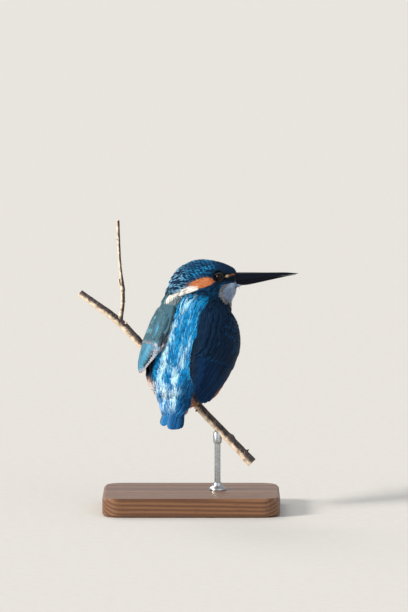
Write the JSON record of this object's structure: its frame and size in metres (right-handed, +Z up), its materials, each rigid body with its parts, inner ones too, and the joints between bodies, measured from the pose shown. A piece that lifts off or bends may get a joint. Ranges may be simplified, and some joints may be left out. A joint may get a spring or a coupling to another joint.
{
  "type": "common kingfisher",
  "caption": "Perched kingfisher with a long dagger bill, blue back, short tail and head turned to the side, on a slanting branch held by a rod above a flat base.",
  "frame": {"origin": "centre of the stand base's underside, on the floor", "axes": "+Z up; the bird's back is towards -Y and its bill points along +X"},
  "size_m": [0.14, 0.0878, 0.183],
  "materials": {
    "plumage_blue": "dark blue feathers with pale azure bars",
    "plumage_azure": "glossy azure back feathers",
    "plumage_wing": "dark blue-green wing feathers",
    "plumage_rufous": "soft orange-brown feathers",
    "foot_skin": "coral red scaled skin",
    "claw": "dark horn",
    "bill_horn": "black horn, half gloss",
    "eye": "wet dark brown",
    "bark": "thin rough bark",
    "stand_wood": "dark oiled wood",
    "stand_steel": "brushed"
  },
  "bodies": {
    "root": {"head": "plumage_blue", "neck": "plumage_blue", "trunk": "plumage_azure", "tail": "plumage_azure", "wing_right": "plumage_wing", "wing_left": "plumage_wing", "leg_right": "plumage_rufous", "leg_left": "plumage_rufous", "foot_right": "foot_skin", "foot_left": "foot_skin", "claw_right_inner": "claw", "claw_right_middle": "claw", "claw_right_outer": "claw", "claw_right_hind": "claw", "claw_left_inner": "claw", "claw_left_middle": "claw", "claw_left_outer": "claw", "claw_left_hind": "claw", "bill_upper": "bill_horn", "bill_lower": "bill_horn", "eye_right": "eye", "eye_left": "eye", "perch_branch": "bark", "perch_twig": "bark", "stand_base": "stand_wood", "stand_rod": "stand_steel"}
  },
  "joints": []
}
